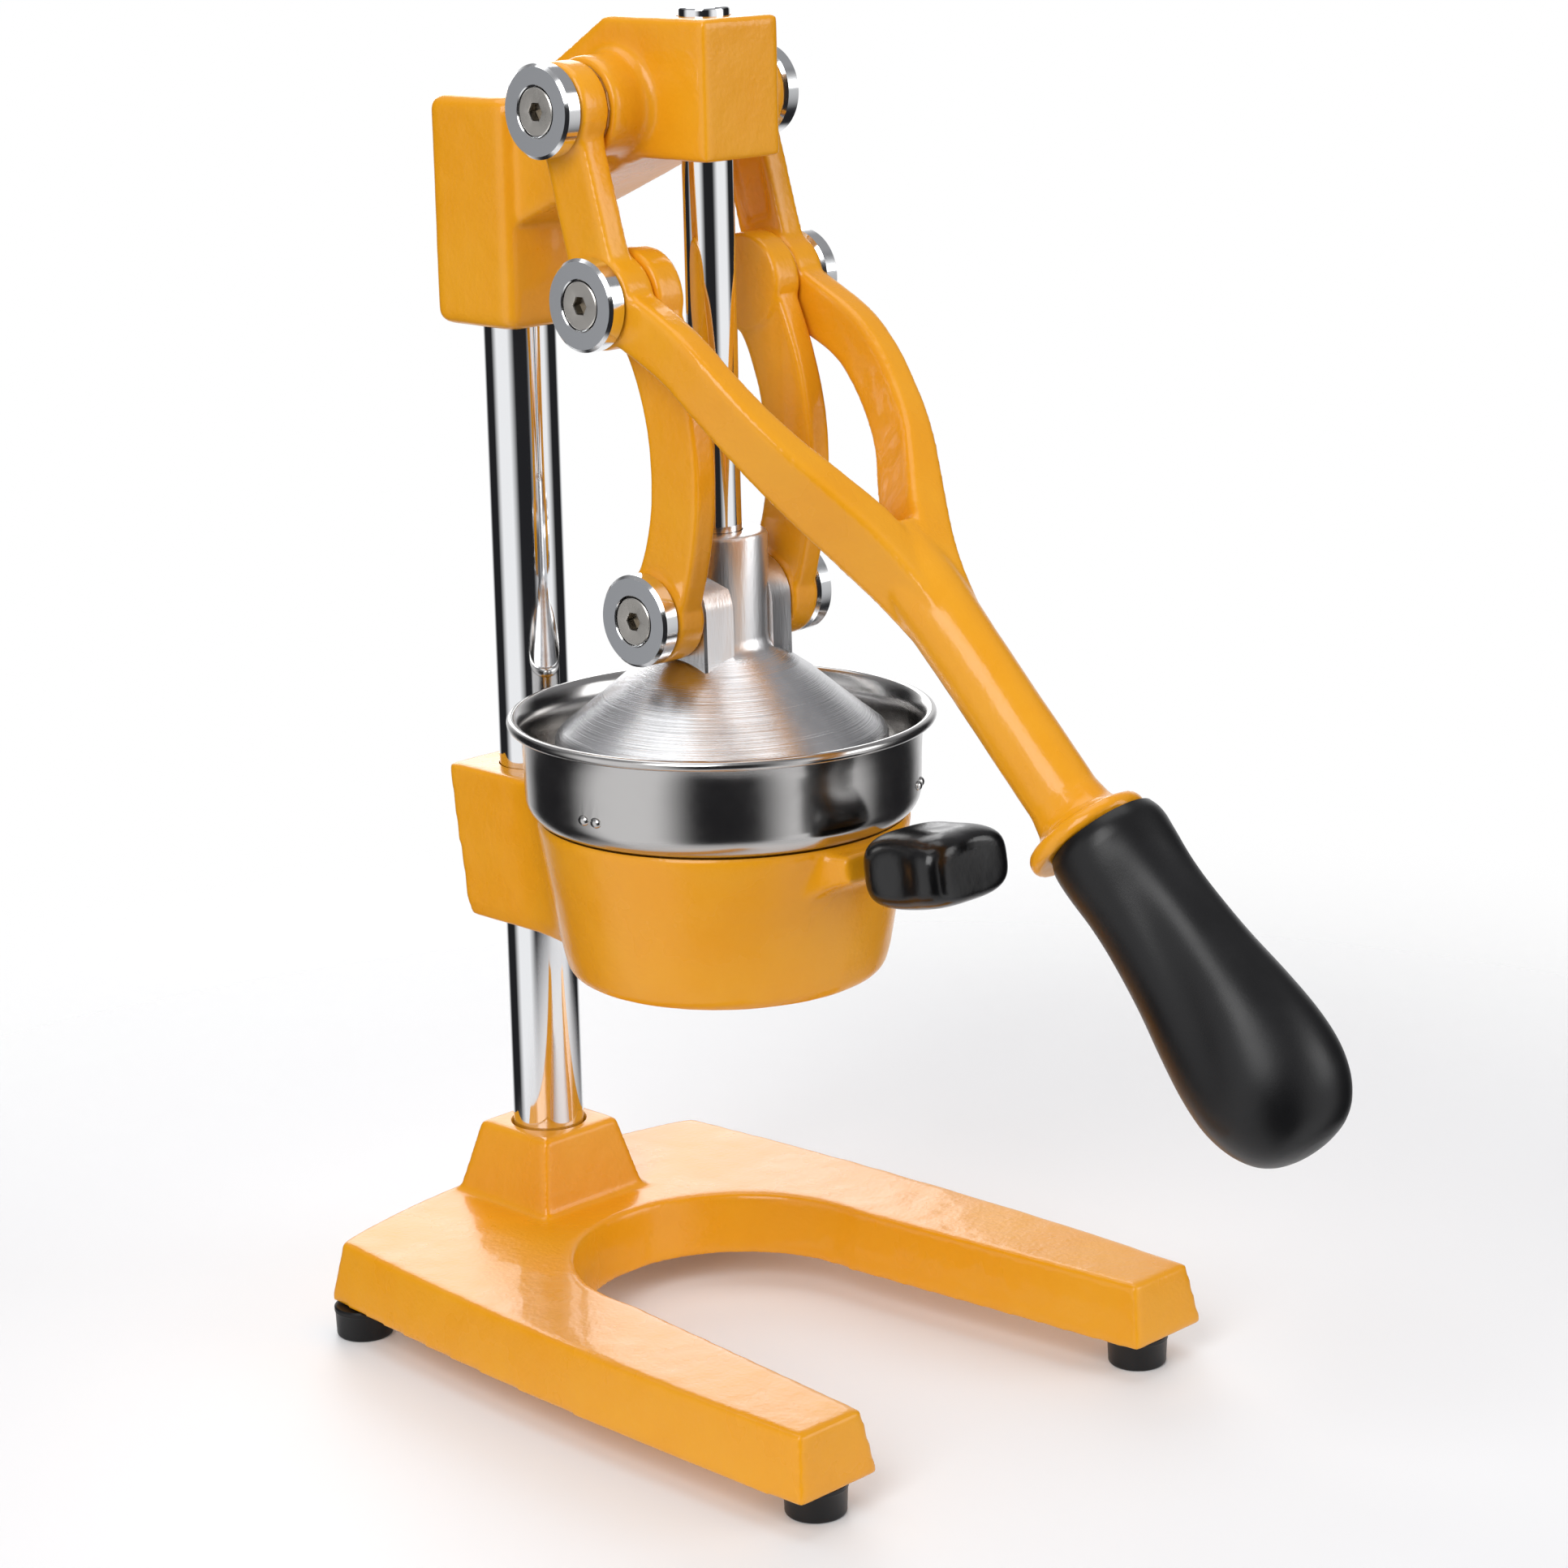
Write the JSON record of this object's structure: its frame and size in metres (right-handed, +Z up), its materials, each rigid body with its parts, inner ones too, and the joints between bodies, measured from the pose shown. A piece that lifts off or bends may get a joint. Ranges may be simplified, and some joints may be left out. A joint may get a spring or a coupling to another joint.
{
  "type": "citrus press juicer",
  "caption": "Hand citrus press: a forked lever and two curved links push a hollow presser down a rod into a strainer cup held on a post over a forked base.",
  "frame": {"origin": "on the floor, under the middle of the press's own box", "axes": "+Z up, -Y towards the user and the lever's grip, +X to the user's right"},
  "size_m": [0.1738, 0.3357, 0.402],
  "materials": {
    "yellow_enamel": "glossy powder enamel on cast iron",
    "chrome": "polished chrome plate",
    "nickel": "nickel plated socket screws",
    "cast_aluminium": "turned cast aluminium",
    "stainless": "spun and brushed stainless steel",
    "bronze": "plain bearing bronze",
    "zinc_steel": "zinc plated steel",
    "black_rubber": "satin moulded rubber"
  },
  "bodies": {
    "frame": {"base": "yellow_enamel", "post": "chrome", "post_bolt": "zinc_steel", "post_bolt_washer": "zinc_steel", "foot_front_left": "black_rubber", "foot_front_right": "black_rubber", "foot_rear_left": "black_rubber", "foot_rear_right": "black_rubber", "foot_screw_front_left": "zinc_steel", "foot_screw_front_right": "zinc_steel", "foot_screw_rear_left": "zinc_steel", "foot_screw_rear_right": "zinc_steel", "head": "yellow_enamel", "head_set_screw_upper": "zinc_steel", "head_set_screw_lower": "zinc_steel", "rod_bush": "bronze", "upper_pivot_shim_left": "bronze", "upper_pivot_shim_right": "bronze", "upper_pivot_sleeve_left": "bronze", "upper_pivot_sleeve_right": "bronze", "upper_pivot_washer_left": "chrome", "upper_pivot_washer_right": "chrome", "upper_pivot_screw_left": "nickel", "upper_pivot_screw_right": "nickel", "cup_holder": "yellow_enamel", "cup_holder_set_screw_upper": "zinc_steel", "cup_holder_set_screw_lower": "zinc_steel", "tab_cap": "black_rubber"},
    "cup": {"strainer_cup": "stainless", "reamer": "stainless"},
    "ram": {"ram_rod": "chrome", "presser": "cast_aluminium", "lower_pivot_sleeve_left": "bronze", "lower_pivot_sleeve_right": "bronze", "lower_pivot_washer_left": "chrome", "lower_pivot_washer_right": "chrome", "lower_pivot_screw_left": "nickel", "lower_pivot_screw_right": "nickel"},
    "lever": {"lever_yoke": "yellow_enamel", "grip": "black_rubber", "middle_pivot_sleeve_left": "bronze", "middle_pivot_sleeve_right": "bronze", "middle_pivot_washer_left": "chrome", "middle_pivot_washer_right": "chrome", "middle_pivot_screw_left": "nickel", "middle_pivot_screw_right": "nickel"},
    "link_left": {"link_left": "yellow_enamel"},
    "link_right": {"link_right": "yellow_enamel"}
  },
  "joints": [
    {"name": "lever_swing", "type": "hinge", "parent": "frame", "child": "lever", "pos_m": [0, 0.0769, 0.3748], "axis": [-1, 0, 0], "range_deg": [0, 105]},
    {"name": "ram_slide", "type": "slide", "parent": "frame", "child": "ram", "axis": [0, 0, 1], "range_m": [0, 0.0853]},
    {"name": "link_swing_left", "type": "hinge", "parent": "ram", "child": "link_left", "pos_m": [-0.0232, 0.0559, 0.2303], "axis": [1, 0, 0], "range_deg": [0, 20.7]},
    {"name": "link_swing_right", "type": "hinge", "parent": "ram", "child": "link_right", "pos_m": [0.0232, 0.0559, 0.2303], "axis": [1, 0, 0], "range_deg": [0, 20.7]},
    {"name": "cup_turn", "type": "hinge", "parent": "frame", "child": "cup", "pos_m": [0, 0.0559, 0.167], "axis": [0, 0, 1], "continuous": true}
  ],
  "couplings": [
    {"joint": "ram_slide", "follows": "lever_swing", "m_per_rad": 0.046483},
    {"joint": "link_swing_left", "follows": "lever_swing", "ratio": 0.19618},
    {"joint": "link_swing_right", "follows": "lever_swing", "ratio": 0.19618}
  ]
}
